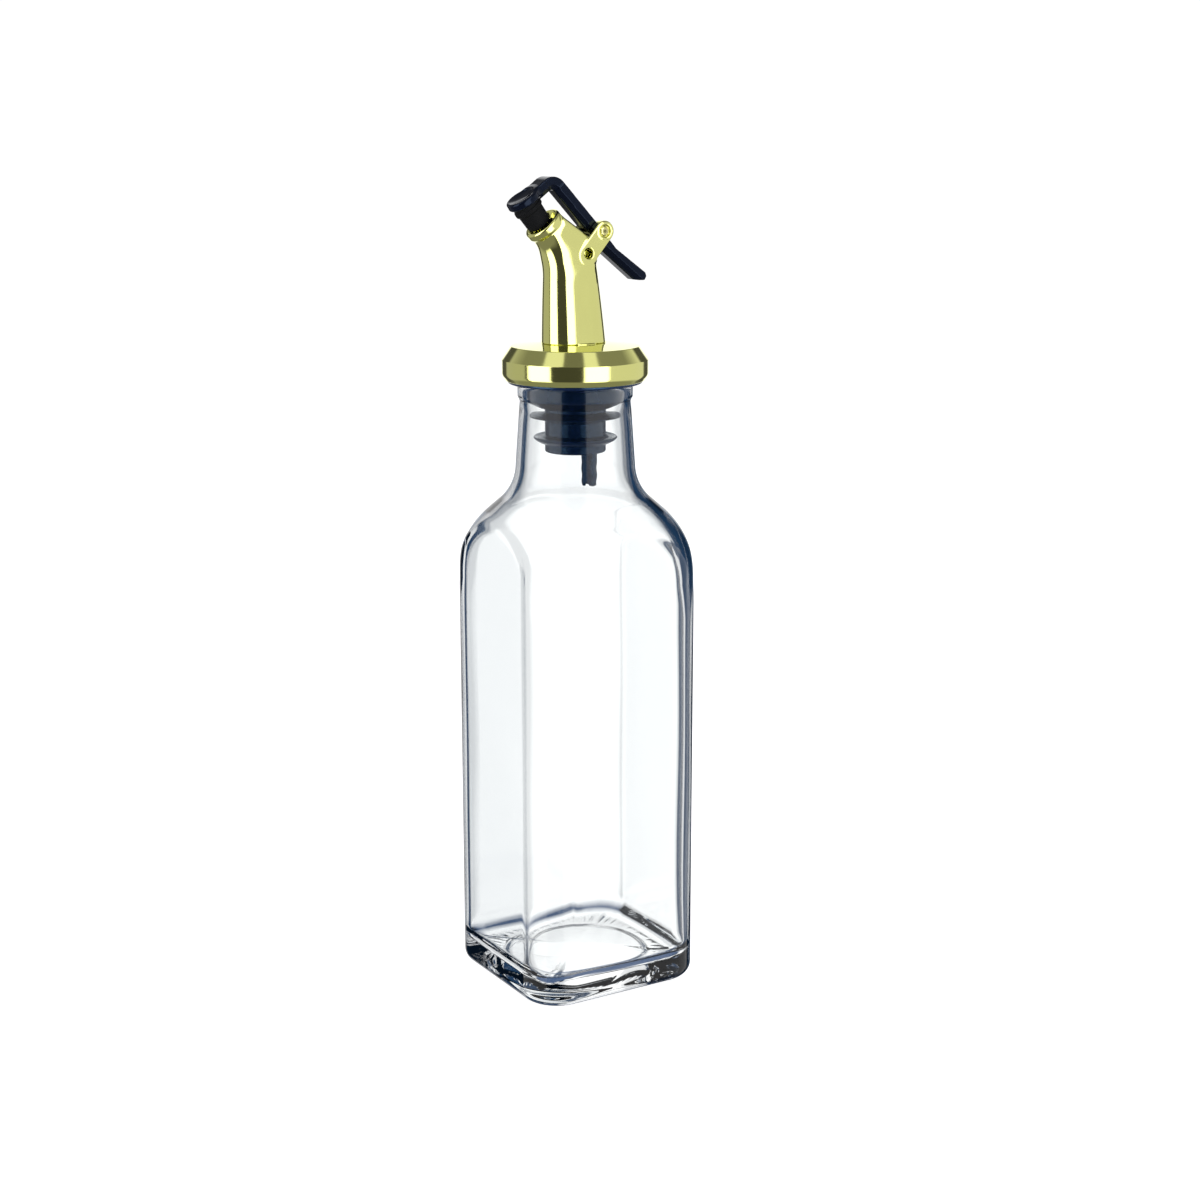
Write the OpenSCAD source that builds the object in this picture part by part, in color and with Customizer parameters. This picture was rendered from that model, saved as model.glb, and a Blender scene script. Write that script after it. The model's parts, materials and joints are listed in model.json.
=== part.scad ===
// Square glass oil bottle with a push-in lever pourer.
// Origin: centre of the base ring. +Z is up the bottle, the mouth points to -X, the thumb tail to +X.

/* [Glass bottle] */
// Width of the square body across two flats
body_w = 53.5; // [50:0.5:58]
// Radius of the four upright corners
corner_r = 11; // [10:0.5:12]
// Radius of the rounded heel
heel_r = 3.5; // [2:0.5:4]
// Thickness of the side walls
glass_wall = 2.7; // [2:0.1:3]
// Height of the inner floor above the base ring
floor_z = 6; // [5:0.5:8]
// Radius of the rounding between inner floor and walls
floor_r = 5; // [3:0.5:6]
// Depth of the hollow under the base
pushup = 1; // [0.5:0.1:1.5]
// Height where the shoulder dome springs from the corners
dome_z = 114.5; // [105:0.5:116]
// Radius of the dome's section
dome_r = 26; // [25:0.5:27]
// Radius of the hollow curve from dome to neck
fillet_r = 13; // [12:0.5:14]
// Height where the straight neck starts
neck_z = 146; // [145:0.5:147]
// Outer radius at the foot of the neck
neck_r1 = 16.5; // [16.2:0.1:17]
// Outer radius just below the lip
neck_r2 = 15.2; // [15:0.1:15.5]
// Height of the top of the glass
lip_z = 169; // [168.5:0.5:169]
// Inner radius of the mouth
mouth_r = 13.4; // [13.3:0.1:13.6]

/* [Stopper] */
// Radius of the core
core_r = 8.35; // [8:0.05:8.6]
// Height of the bottom of the core
core_z = 150.3; // [149:0.1:152]
// Radius of the tapered root that fills the mouth
root_r = 13.1; // [12.8:0.1:13.1]
// Radius of the flange that lies on the lip
flange_r = 18.4; // [17:0.1:18.5]
// Radius of the upper fin
fin1_r = 12.5; // [11:0.1:12.6]
// Radius of the lower fin
fin2_r = 11.5; // [10.5:0.1:12]

/* [Air tube] */
// Outer radius of the air tube
tube_r = 2.2; // [2:0.05:2.2]
// Bore radius of the air tube
tube_bore_r = 1.4; // [1:0.05:1.5]
// Height of the tube's lower end
tube_z1 = 140.4; // [136:0.2:146]

/* [Collar and spout] */
// Largest radius of the collar
collar_r = 20; // [19.5:0.1:21]
// Radius of the rim round the collar's top
collar_flat_r = 17.4; // [16.5:0.1:18]
// Height of the collar's lower edge
collar_z1 = 169.9; // [169.8:0.1:170]
// Height of the rim round the collar's top
collar_z2 = 179.2; // [179:0.1:179.5]
// Height to which the collar's top rises at the foot of the column
collar_z3 = 179.9; // [179.6:0.1:180]
// Half the width across the flat sides at the foot of the column
column_r1 = 6.6; // [6.4:0.05:6.8]
// Half the width across the flat sides at the top of the column
column_r2 = 5.5; // [5.4:0.05:5.7]
// Angle of the mouth's axis above the horizontal
mouth_tilt = 48; // [46:1:50]
// Radius of the mouth's rim
rim_r = 5.3; // [5.2:0.05:5.5]
// Radius of the vent hole
vent_r = 1.3; // [1:0.1:1.4]
// Half the gap between the two ears
fork_half = 2.85; // [2.85:0.05:3]
// Thickness of each ear
ear_t = 2.55; // [2.2:0.05:2.6]

/* [Lever] */
// Width of the lever across the fork
lever_w = 5.3; // [5:0.05:5.3]
// Thickness of the arm
arm_t = 3.5; // [3.2:0.1:3.6]
// Radius of the cap disc
disc_r = 4.6; // [4.4:0.1:4.8]
// Thickness of the cap disc
disc_t = 2.2; // [1.8:0.1:2.4]
// Radius of the hinge pin
pin_r = 0.75; // [0.7:0.01:0.8]

/* [Hidden] */
$fn = 96;

GLASS = [0.80, 0.90, 0.88, 0.35];
GOLD = [0.80, 0.72, 0.30];
BLACK = [0.07, 0.07, 0.12];
MATT_BLACK = [0.04, 0.04, 0.05];
STEEL = [0.70, 0.71, 0.73];

// Glass: the shoulder is the square body cut by a dome of revolution.
overlap = 0.05;
corner_reach = (body_w / 2 - corner_r) * sqrt(2) + corner_r;
dome_c = [corner_reach + overlap - dome_r, dome_z];
neck_top_z = 164.4;
neck_lean = atan((neck_r1 - neck_r2) / (neck_top_z - neck_z));
fillet_c = [neck_r1 + fillet_r * cos(neck_lean), neck_z + fillet_r * sin(neck_lean)];
inner_w = body_w - 2 * glass_wall;
inner_corner_r = corner_r - glass_wall;
lip_bead_r = neck_r2 + 0.55;
lip_bead_z = 165.9;
lip_under_r = 0.9;
lip_edge_r = 1.1;
neck_wall = 2.2;
inner_fillet_r = fillet_r + 2;
throat_z = 160;
mouth_lead = 0.6;
pushup_r1 = 19.5;
pushup_r2 = 18;

// Passages through the pourer
flow_x = -2.8;
flow_r = 3.1;
tube_at = [3.9, -0.9];
tube_z2 = 183;
vent_at = [1.1, 204];
duct_at = [2.2, -1.8];
spigot_r = 7;
spigot_z = 172;
boss_z = 177.4;
boss_r = 10.5;
flange_top_z = 171.4;
seat_gap = 0.1;

// Stopper: where the fins' tips and the tapered root lie, and the shape of a fin
fin1_z = 160.2;
fin2_z = 154.3;
root_z1 = 162.6;
root_z2 = 165.2;
core_edge = 0.5;
fin_drop = 1.5;
fin_rise = 0.7;
fin_root = 0.9;
fin_tip = 0.3;

// Notch across the lower end of the air tube
notch_w = 1;
notch_h = 1.9;
notch_turn = 35;

// Collar: foot, wall and the hollow that clears the flange
collar_foot_r = 18.9;
collar_edge_r = 1.3;
collar_wall_z = 175.5;
rim_round = 0.5;
crown_r = 9.6;
hollow_r = 16.6;
hollow_z = 175.2;

// Column and mouth, in the X-Z plane
column_foot = [-0.45, collar_z3];
column_top = [-1.6, 201.5];
flat_half1 = 2.4;
flat_half2 = 1.85;
mouth_c = [-10.2, 212.2];
rim_h = 2.1;
tube_outer_r = 4.75;
mouth_bore_r = 3.4;
mouth_flare_r = 4.3;
mouth_flare_h = 1.6;
mouth_len = 15;

// Fork and hinge
pivot = [6.3, 209.7];
ear_r = 2.8;
ear_lean = 49.5;
web_half = 4.9;
ear_out = fork_half + ear_t;
ear_len = 8.2;
pin_head_r = 1.35;
pin_head_h = 0.4;
recess_r = 1.55;
recess_h = 0.5;
pin_gap = 0.05;

// Lever, in the X-Z plane
elbow_c = [-8, 219.8];
elbow_r = 4.4;
arm_dip = 46.8;
neck_dip = 37;
arm_len = 16.5;
neck_len = 5.5;
tail_tip = [20, 197.1];
tail_tip_r = 1.2;
dish_r = disc_r - 0.9;
dish_h = 0.5;
disc_tilt = 58;
disc_foot = [-15.2, 217.3];
hub_r = 2.4;
plug_tilt = 52;
plug_len = 7.1;
plug_r1 = 3.7;
plug_r2 = 3.2;

// Return spring: its first leg lies under the arm, its last leg on the back of the web
wire_r = 0.22;
coil_r = 1.27;
coil_turns = 3;
coil_pitch = 0.52;
arm_leg_aim = 134;
arm_leg_len = 2.6;
web_leg_aim = 225;
web_leg_len = 3.35;
leg_bend = 1.2;
spring_room = 2.4;
coil_room = 0.5;
groove_r = 4;
groove_a1 = 145;
groove_a2 = 248;

// Points of an arc about c, from angle a to angle b in n steps
function arc(c, r, a, b, n = 12) =
    [for (i = [0:n]) c + r * [cos(a + (b - a) * i / n), sin(a + (b - a) * i / n)]];

// Angle of the line that touches a dome circle on one side and a fillet circle on the other
function touch_angle(c1, r1, c2, r2) =
    atan2(c2[1] - c1[1], c2[0] - c1[0]) - acos((r1 + r2) / norm(c2 - c1));

// A square with round corners
module round_square(w, r) {
    square([w - 2 * r, w], center = true);
    square([w, w - 2 * r], center = true);
    for (x = [-1, 1], y = [-1, 1])
        translate([x, y] * (w / 2 - r)) circle(r);
}

// Side view of a box whose two lower edges are round
module heel_outline(w, z1, z2, r) {
    translate([-w / 2, z1 + r]) square([w, z2 - z1 - r]);
    translate([-w / 2 + r, z1]) square([w - 2 * r, r * 2]);
    for (x = [-1, 1]) translate([x * (w / 2 - r), z1 + r]) circle(r);
}

// Square column with round upright corners and round lower edges
module heeled_prism(w, r, z1, z2, heel) {
    intersection() {
        translate([0, 0, z1]) linear_extrude(z2 - z1) round_square(w, r);
        rotate([90, 0, 0]) linear_extrude(w + 2, center = true) heel_outline(w, z1, z2, heel);
        rotate([90, 0, 90]) linear_extrude(w + 2, center = true) heel_outline(w, z1, z2, heel);
    }
}

// An X-Z outline given a width along Y
module slab(w) {
    rotate([90, 0, 0]) linear_extrude(w, center = true) children();
}

// Move to a point of the X-Z plane and aim +Z at the given angle above -X
module aim(at, tilt) {
    translate([at[0], 0, at[1]]) rotate([0, tilt - 90, 0]) children();
}

module dome_outer() {
    t = touch_angle(dome_c, dome_r, fillet_c, fillet_r);
    rotate_extrude() polygon(concat(
        [[0, -1], [dome_c[0] + dome_r, -1]],
        arc(dome_c, dome_r, 0, t, 10),
        arc(fillet_c, fillet_r, t + 180, neck_lean + 180, 8),
        [[neck_r2, neck_top_z]],
        arc([lip_bead_r - lip_under_r, lip_bead_z], lip_under_r, -50, 0, 3),
        arc([lip_bead_r - lip_edge_r, lip_z - lip_edge_r], lip_edge_r, 0, 90, 5),
        [[0, lip_z]]));
}

module dome_inner() {
    c = dome_c;
    r = dome_r - glass_wall;
    f = inner_fillet_r;
    g = [neck_r1 - neck_wall + f * cos(neck_lean), neck_z + f * sin(neck_lean)];
    t = touch_angle(c, r, g, f);
    rotate_extrude() polygon(concat(
        [[0, floor_z - 1], [c[0] + r + 1, floor_z - 1], [c[0] + r + 1, dome_z]],
        arc(c, r, 0, t, 10),
        arc(g, f, t + 180, neck_lean + 180, 8),
        [[mouth_r, throat_z], [mouth_r, lip_z - mouth_lead]],
        [[mouth_r + mouth_lead, lip_z + overlap], [0, lip_z + overlap]]));
}

module glass_bottle() {
    color(GLASS) difference() {
        intersection() {
            heeled_prism(body_w, corner_r, 0, lip_z + 1, heel_r);
            dome_outer();
        }
        intersection() {
            heeled_prism(inner_w, inner_corner_r, floor_z, lip_z + 2, floor_r);
            dome_inner();
        }
        translate([0, 0, -1]) cylinder(h = 1 + pushup, r1 = pushup_r1, r2 = pushup_r2);
    }
}

// Outline of one fin that rises from the core to a thin tip
function fin(r, z) = [
    [core_r, z - fin_drop], [core_r + fin_root, z - fin_drop + fin_tip], [r, z - fin_tip],
    [r - fin_tip, z], [core_r + fin_root, z + fin_rise], [core_r, z + fin_rise + fin_tip]];

// Turned outline of the stopper: core, two fins, tapered root, flange and top boss
module stopper_turned() {
    rotate_extrude() polygon(concat(
        [[0, core_z], [core_r - core_edge, core_z], [core_r, core_z + core_edge]],
        fin(fin2_r, fin2_z),
        fin(fin1_r, fin1_z),
        [[core_r, root_z1], [root_r, root_z2], [root_r, lip_z + seat_gap]],
        [[flange_r, lip_z + seat_gap], [flange_r, flange_top_z], [boss_r, flange_top_z]],
        [[boss_r, boss_z], [0, boss_z]]));
}

module stopper() {
    color(BLACK) difference() {
        stopper_turned();
        translate([0, 0, spigot_z]) cylinder(h = 10, r = spigot_r);
        translate([flow_x, 0, core_z - 1]) cylinder(h = 30, r = flow_r + 0.3);
        translate([tube_at[0], tube_at[1], core_z - 1]) cylinder(h = 30, r = tube_r);
    }
}

// Straight tube with two notches at its open lower end
module air_tube() {
    color(BLACK) translate([tube_at[0], tube_at[1], tube_z1]) difference() {
        cylinder(h = tube_z2 - tube_z1, r = tube_r);
        translate([0, 0, -1]) cylinder(h = 60, r = tube_bore_r);
        rotate([0, 0, notch_turn]) cube([3 * tube_r, notch_w, notch_h], center = true);
    }
}

// Hollow plated cap that hides the flange, its top slightly crowned
module collar() {
    color(GOLD) {
        rotate_extrude() polygon(concat(
            [[collar_foot_r, collar_z1]],
            arc([collar_r - collar_edge_r, collar_z1 + collar_edge_r + 0.2], collar_edge_r, -60, 0, 4),
            [[collar_r, collar_wall_z], [collar_flat_r + rim_round, collar_z2 - rim_round / 2]],
            [[collar_flat_r, collar_z2], [crown_r, collar_z3], [spigot_r, collar_z3]],
            [[spigot_r, boss_z], [hollow_r, boss_z], [flange_r, hollow_z], [flange_r, collar_z1]]));
    }
}

// Oval slice of the column: two round ends joined by flat sides
module oval_slice(at, half, r, h) {
    for (s = [-1, 1])
        translate([at[0] + s * half, 0, at[1]]) cylinder(h = h, r = r, $fn = 48);
}

// Column of the spout, from the collar up to its round top
module column_solid() {
    hull() {
        oval_slice(column_foot, flat_half1, column_r1, 0.2);
        for (s = [-1, 1])
            translate([column_top[0] + s * flat_half2, 0, column_top[1]])
                sphere(r = column_r2, $fn = 48);
    }
}

// Outline of the web between the mouth tube and the fork
module web_outline() {
    polygon([[-6.6, 214.4], [2.9, 208], [4.3, 206.5], [4.3, 202], [-6, 202], [-9.5, 209]]);
}

// Room in which the lever turns, between the ears
module fork_room() {
    polygon([[2.6, 210.6], [3.6, 209.4], [4.35, 204.6], [5.2, 202.6], [5.5, 201],
             [14, 201], [14, 216], [2.6, 216]]);
}

// Outline of one ear: a strap that leans along the fork and ends round the hinge
module ear_outline() {
    translate(pivot) circle(ear_r);
    translate(pivot) rotate(180 + ear_lean) translate([0, -ear_r]) square([ear_len, 2 * ear_r]);
}

module spout() {
    color(GOLD) difference() {
        union() {
            translate([0, 0, spigot_z]) cylinder(h = collar_z3 - spigot_z, r = spigot_r);
            column_solid();
            aim(mouth_c, mouth_tilt) translate([0, 0, -mouth_len]) cylinder(h = mouth_len, r = tube_outer_r);
            aim(mouth_c, mouth_tilt) translate([0, 0, -rim_h]) cylinder(h = rim_h, r = rim_r);
            slab(2 * web_half) web_outline();
            for (s = [-1, 1])
                translate([0, s * (fork_half + ear_t / 2), 0]) slab(ear_t) ear_outline();
        }
        slab(2 * fork_half) fork_room();
        // flow channel, its bend and the flared mouth
        translate([flow_x, 0, spigot_z - 1]) cylinder(h = 31, r = flow_r);
        aim(mouth_c, mouth_tilt) translate([0, 0, -mouth_len])
            cylinder(h = mouth_len + 1, r = mouth_bore_r);
        aim(mouth_c, mouth_tilt) translate([0, 0, -mouth_flare_h])
            cylinder(h = mouth_flare_h + overlap, r1 = mouth_bore_r, r2 = mouth_flare_r);
        // air passage from the tube's socket to the vent hole
        translate([tube_at[0], tube_at[1], spigot_z - 1]) cylinder(h = tube_z2 - spigot_z + 2.5, r = tube_r);
        translate([duct_at[0], duct_at[1], tube_z2]) cylinder(h = 21.6, r = 1.4);
        translate([vent_at[0], duct_at[1], vent_at[1]]) rotate([90, 0, 0]) cylinder(h = 9, r = vent_r);
        // hinge hole and the recess round each pin head
        translate([pivot[0], 0, pivot[1]]) rotate([90, 0, 0]) {
            cylinder(h = 2 * ear_out + 2, r = pin_r, center = true);
            for (s = [-1, 1])
                translate([0, 0, s * (ear_out + recess_h)])
                    cylinder(h = 4 * recess_h, r = recess_r, center = true);
        }
    }
}

// Hinge pin with two low heads
module pivot_pin() {
    color(GOLD) translate([pivot[0], 0, pivot[1]]) rotate([90, 0, 0]) {
        cylinder(h = 2 * (ear_out - recess_h), r = pin_r, center = true);
        for (s = [-1, 1])
            translate([0, 0, s * (ear_out - recess_h + pin_head_h / 2)])
                cylinder(h = pin_head_h, r = pin_head_r, center = true);
    }
}

// Tube of eight sides swept along a list of points that lie nearly square to each other's planes
module wire(points, r) {
    n = len(points);
    sides = 8;
    ring = [for (i = [0:n - 1])
        let (a = points[max(i - 1, 0)], b = points[min(i + 1, n - 1)])
        let (t = (b - a) / norm(b - a))
        let (u0 = cross(t, [0, 1, 0]), u = u0 / norm(u0), v = cross(t, u))
        for (k = [0:sides - 1])
            points[i] + r * (cos(360 * k / sides) * u + sin(360 * k / sides) * v)];
    sides_faces = [for (i = [0:n - 2], k = [0:sides - 1])
        [i * sides + k, (i + 1) * sides + k,
         (i + 1) * sides + (k + 1) % sides, i * sides + (k + 1) % sides]];
    polyhedron(points = ring, convexity = 6, faces = concat(sides_faces,
        [[for (k = [0:sides - 1]) k]],
        [[for (k = [sides - 1:-1:0]) (n - 1) * sides + k]]));
}

// Torsion spring round the pin: nearly three turns and two straight legs
module return_spring() {
    steps = 20;
    first = arm_leg_aim + 90;
    turn = 360 * coil_turns + web_leg_aim - 90 - first;
    last = first + turn;
    width = coil_pitch * turn / 360;
    total = round(steps * turn / 360);
    coil = [for (i = [0:total])
        let (a = first + turn * i / total)
        [pivot[0] + coil_r * cos(a), -width / 2 + width * i / total, pivot[1] + coil_r * sin(a)]];
    arm_way = [cos(arm_leg_aim), 0, sin(arm_leg_aim)];
    web_way = [cos(web_leg_aim), 0, sin(web_leg_aim)];
    color(STEEL) wire(concat(
        [for (d = [arm_leg_len, leg_bend]) coil[0] + d * arm_way],
        coil,
        [for (d = [leg_bend, web_leg_len]) coil[total] + d * web_way]), wire_r);
}

// Side view of the arm, the elbow, the neck and the thumb tail
module lever_outline() {
    // elbow: a ring cut to the wedge between neck and arm
    intersection() {
        difference() {
            translate(elbow_c) circle(elbow_r);
            translate(elbow_c) circle(elbow_r - arm_t);
        }
        polygon([elbow_c, elbow_c + 9 * [cos(90 - arm_dip), sin(90 - arm_dip)],
                 elbow_c + [0, 9], elbow_c + 9 * [cos(90 + neck_dip), sin(90 + neck_dip)]]);
    }
    translate(elbow_c) rotate(90 - arm_dip)
        translate([elbow_r - arm_t, -arm_len]) square([arm_t, arm_len + overlap]);
    translate(elbow_c) rotate(90 + neck_dip)
        translate([elbow_r - arm_t, -overlap]) square([arm_t, neck_len + overlap]);
    translate(pivot) circle(hub_r);
    polygon(concat([[4.55, 208.4], [7.5, 204.5], [17.7, 196.3]],
        arc(tail_tip, tail_tip_r, 235, 405, 8), [[11.5, 204.7], [9.6, 206.9], [6.5, 210.5]]));
}

// Side view of the groove that the spring's legs need as the lever turns
module spring_groove() {
    polygon(concat([pivot], arc(pivot, groove_r, groove_a1, groove_a2, 10)));
}

module lever() {
    color(BLACK) difference() {
        union() {
            slab(lever_w) lever_outline();
            aim(disc_foot, disc_tilt) cylinder(h = disc_t, r = disc_r);
        }
        aim(disc_foot, disc_tilt) translate([0, 0, disc_t - dish_h]) cylinder(h = 5, r = dish_r);
        translate([pivot[0], 0, pivot[1]]) rotate([90, 0, 0])
            cylinder(h = lever_w + 2, r = pin_r + pin_gap, center = true);
        slab(spring_room) translate(pivot) circle(coil_r + coil_room);
        slab(spring_room) spring_groove();
    }
}

// Soft plug under the cap disc, notched where the lever's neck passes
module mouth_plug() {
    color(MATT_BLACK) difference() {
        aim(disc_foot, plug_tilt) translate([0, 0, -plug_len]) union() {
            cylinder(h = 0.6, r1 = plug_r2 - 0.5, r2 = plug_r2);
            translate([0, 0, 0.6]) cylinder(h = plug_len + 0.4, r1 = plug_r2, r2 = plug_r1);
        }
        aim(disc_foot, disc_tilt) cylinder(h = 4, r = 6);
        slab(lever_w) lever_outline();
    }
}

glass_bottle();
stopper();
air_tube();
collar();
spout();
pivot_pin();
return_spring();
lever();
mouth_plug();
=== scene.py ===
import json

import bpy
import numpy as np
from bpy.props import FloatProperty, FloatVectorProperty, IntProperty, PointerProperty
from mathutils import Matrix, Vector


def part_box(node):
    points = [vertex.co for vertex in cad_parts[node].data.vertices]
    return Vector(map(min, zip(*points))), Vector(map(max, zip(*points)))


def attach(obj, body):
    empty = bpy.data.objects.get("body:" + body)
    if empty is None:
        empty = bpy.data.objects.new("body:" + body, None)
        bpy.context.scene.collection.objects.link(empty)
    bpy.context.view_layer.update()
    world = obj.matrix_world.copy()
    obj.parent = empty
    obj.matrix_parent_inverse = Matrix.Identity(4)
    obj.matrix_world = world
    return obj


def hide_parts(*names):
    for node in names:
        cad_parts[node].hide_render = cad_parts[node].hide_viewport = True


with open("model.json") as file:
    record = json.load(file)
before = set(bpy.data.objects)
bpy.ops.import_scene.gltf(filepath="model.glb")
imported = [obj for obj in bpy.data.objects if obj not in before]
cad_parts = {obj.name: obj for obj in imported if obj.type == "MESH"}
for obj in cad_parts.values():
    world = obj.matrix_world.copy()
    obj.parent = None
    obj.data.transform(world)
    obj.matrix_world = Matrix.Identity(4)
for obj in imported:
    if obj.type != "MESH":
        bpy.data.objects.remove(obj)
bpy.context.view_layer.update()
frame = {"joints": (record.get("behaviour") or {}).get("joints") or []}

bl_info = {
    "name": "Oil Bottle With Lever Pourer",
    "version": (1, 0, 0),
    "blender": (4, 5, 0),
    "location": "3D View > Sidebar > Oil Bottle",
    "description": "Builds a square glass oil bottle and its gold lever pourer around the packed frame",
    "category": "Add Mesh",
}

MM = 0.001
GLASS_LOW, GLASS_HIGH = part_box("glass_bottle")
STOPPER_LOW, STOPPER_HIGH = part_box("stopper")
TUBE_LOW, TUBE_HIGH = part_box("air_tube")
COLLAR_LOW, COLLAR_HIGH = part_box("collar")
SPOUT_LOW, SPOUT_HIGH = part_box("spout")
LEVER_LOW, LEVER_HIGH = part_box("lever")
HINGE = next(j for j in frame["joints"] if j["name"] == "lever_hinge")["pos_m"]


# ---------------------------------------------------------------- numbers and settings

def length(title, about, default):
    """A setting that holds a length in metres."""
    return FloatProperty(name=title, description=about, default=default, unit="LENGTH", subtype="DISTANCE")


def share(title, about, default):
    """A setting that holds a plain number from nought to one."""
    return FloatProperty(name=title, description=about, default=default, min=0.0, max=1.0, subtype="FACTOR")


def colour(title, about, default):
    """A setting that holds a linear colour."""
    return FloatVectorProperty(name=title, description=about, default=default, size=3, min=0.0, max=1.0,
                               subtype="COLOR")


def angle(title, about, degrees):
    """A setting that holds an angle."""
    return FloatProperty(name=title, description=about, default=np.radians(degrees), subtype="ANGLE")


class GlassSettings(bpy.types.PropertyGroup):
    width: length("Width", "Width of the square body across two flats", GLASS_HIGH.x - GLASS_LOW.x)
    height: length("Height", "Height of the glass up to the lip", GLASS_HIGH.z)
    corner: length("Corner", "Radius of the four upright corners", 0.011)
    heel: length("Heel", "Radius of the rounded heel", 0.0035)
    wall: length("Wall", "Thickness of the side walls", 0.0027)
    floor: length("Floor", "Height of the inner floor", 0.006)
    dome_height: length("Dome height", "Height where the shoulder leaves the corners", 0.1145)
    dome: length("Dome", "Radius of the shoulder's section", 0.026)
    neck_height: length("Neck height", "Height where the straight neck starts", 0.146)
    neck: length("Neck", "Outer radius at the foot of the neck", 0.0165)
    mouth: length("Mouth", "Inner radius of the mouth", 0.0134)
    arch_softness: length("Arch softness", "How far the edge between face and shoulder is rounded", 0.0011)
    marks: IntProperty(name="Base marks", description="Number of short bars moulded round the base", default=64)
    tint: colour("Tint", "Colour that the glass gives to light", (0.978, 0.992, 0.992))


class StopperSettings(bpy.types.PropertyGroup):
    core: length("Core", "Radius of the core", 0.00835)
    upper_fin: length("Upper fin", "Radius of the thin upper fin", 0.0125)
    lower_fin: length("Lower fin", "Radius of the cupped lower fin", 0.0115)
    root: length("Root", "Radius of the root that fills the mouth", 0.0131)
    flange: length("Flange", "Radius of the flange on the lip", STOPPER_HIGH.x)
    tint: colour("Colour", "Colour of the soft plastic", (0.003, 0.007, 0.036))
    gloss: share("Gloss tint", "How blue its highlights are", 0.7)


class CollarSettings(bpy.types.PropertyGroup):
    radius: length("Radius", "Largest radius of the collar", COLLAR_HIGH.x)
    rim: length("Rim", "Radius of the rim round its top", 0.0174)
    wall_top: length("Wall top", "Height where the bevel starts", 0.1755)
    rim_height: length("Rim height", "Height of the rim", 0.1792)
    tint: colour("Colour", "Colour of the plating", (0.86, 0.86, 0.31))


class SpoutSettings(bpy.types.PropertyGroup):
    foot: length("Foot", "Half width across the flat sides at the foot", 0.0066)
    top: length("Top", "Half width across the flat sides at the top", 0.0055)
    mouth_tilt: angle("Mouth tilt", "Angle of the mouth above the horizontal", 48)
    rim: length("Rim", "Radius of the mouth's rim", 0.0053)
    tube: length("Tube", "Outer radius of the mouth tube", 0.00475)
    bore: length("Bore", "Radius of the mouth's bore", 0.0034)
    vent: length("Vent", "Radius of the vent hole", 0.0013)
    fork: length("Fork", "Half the gap between the ears", 0.00285)
    step: length("Detail", "Spacing of the grid on which the surface is worked out", 0.00027)


class LeverSettings(bpy.types.PropertyGroup):
    width: length("Width", "Width of the lever across the fork", 0.0053)
    thickness: length("Thickness", "Thickness of the arm", 0.0035)
    disc: length("Disc", "Radius of the cap disc", 0.0046)
    disc_thickness: length("Disc thickness", "Thickness of the cap disc", 0.0022)
    disc_tilt: angle("Disc tilt", "Angle of the disc's axis above the horizontal", 58)
    plug_tilt: angle("Plug tilt", "Angle of the plug's axis above the horizontal", 52)
    plug_length: length("Plug length", "Length of the plug under the disc", 0.0071)
    step: length("Detail", "Spacing of the grid on which the surface is worked out", 0.00027)
    tint: colour("Colour", "Colour of the moulded plastic", (0.002, 0.003, 0.008))


class StageSettings(bpy.types.PropertyGroup):
    lens: FloatProperty(name="Lens", description="Focal length in millimetres", default=63.6)
    distance: length("Distance", "Level distance from the camera to the bottle's axis", 0.575)
    height: length("Camera height", "Height of the camera above the floor", 0.2426)
    turn: angle("Turn", "Turn of the camera about the bottle", -31.4)
    dip: angle("Dip", "How far the camera looks down", 13.15)
    aside: length("Aside", "How far the camera stands to its own right", 0.00676)
    floor: length("Floor", "Radius of the floor", 1.25)
    lamp: FloatProperty(name="Lamp", description="Power of the overhead lamp in watts", default=8.0)


GROUPS = {
    "oil_glass": GlassSettings,
    "oil_stopper": StopperSettings,
    "oil_collar": CollarSettings,
    "oil_spout": SpoutSettings,
    "oil_lever": LeverSettings,
    "oil_stage": StageSettings,
}


# ---------------------------------------------------------------- meshes from arrays

def signed_volume(points, triangles):
    """A sixth of the sum, over the triangles, of one corner dotted with the cross product of the other
    two."""
    a, b, c = (points[triangles[:, i]] for i in range(3))
    return np.einsum("ij,ij->i", a, np.cross(b, c)).sum() / 6


def make_object(name, points, quads, triangles=None, normals=None):
    """A mesh object from whole arrays, in millimetres. Faces are turned over together if they point
    inwards."""
    triangles = np.empty((0, 3), int) if triangles is None else triangles
    halves = np.concatenate((quads[:, [0, 1, 2]], quads[:, [0, 2, 3]], triangles))
    if signed_volume(points, halves) < 0:
        quads, triangles = quads[:, ::-1], triangles[:, ::-1]
    corners = np.concatenate((quads.ravel(), triangles.ravel())).astype(np.int32)
    starts = np.concatenate((np.arange(len(quads)) * 4, len(quads) * 4 + np.arange(len(triangles)) * 3))
    mesh = bpy.data.meshes.new(name)
    mesh.vertices.add(len(points))
    mesh.vertices.foreach_set("co", (points * MM).astype(np.float32).ravel())
    mesh.loops.add(len(corners))
    mesh.loops.foreach_set("vertex_index", corners)
    mesh.polygons.add(len(starts))
    mesh.polygons.foreach_set("loop_start", starts.astype(np.int32))
    mesh.polygons.foreach_set("use_smooth", np.ones(len(starts), bool))
    mesh.update(calc_edges=True)
    if mesh.validate():
        raise RuntimeError(f"{name} has faces that had to be mended")
    if normals is not None:
        mesh.normals_split_custom_set_from_vertices(normals.tolist())
    made = bpy.data.objects.new(name, mesh)
    bpy.context.scene.collection.objects.link(made)
    return made


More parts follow.
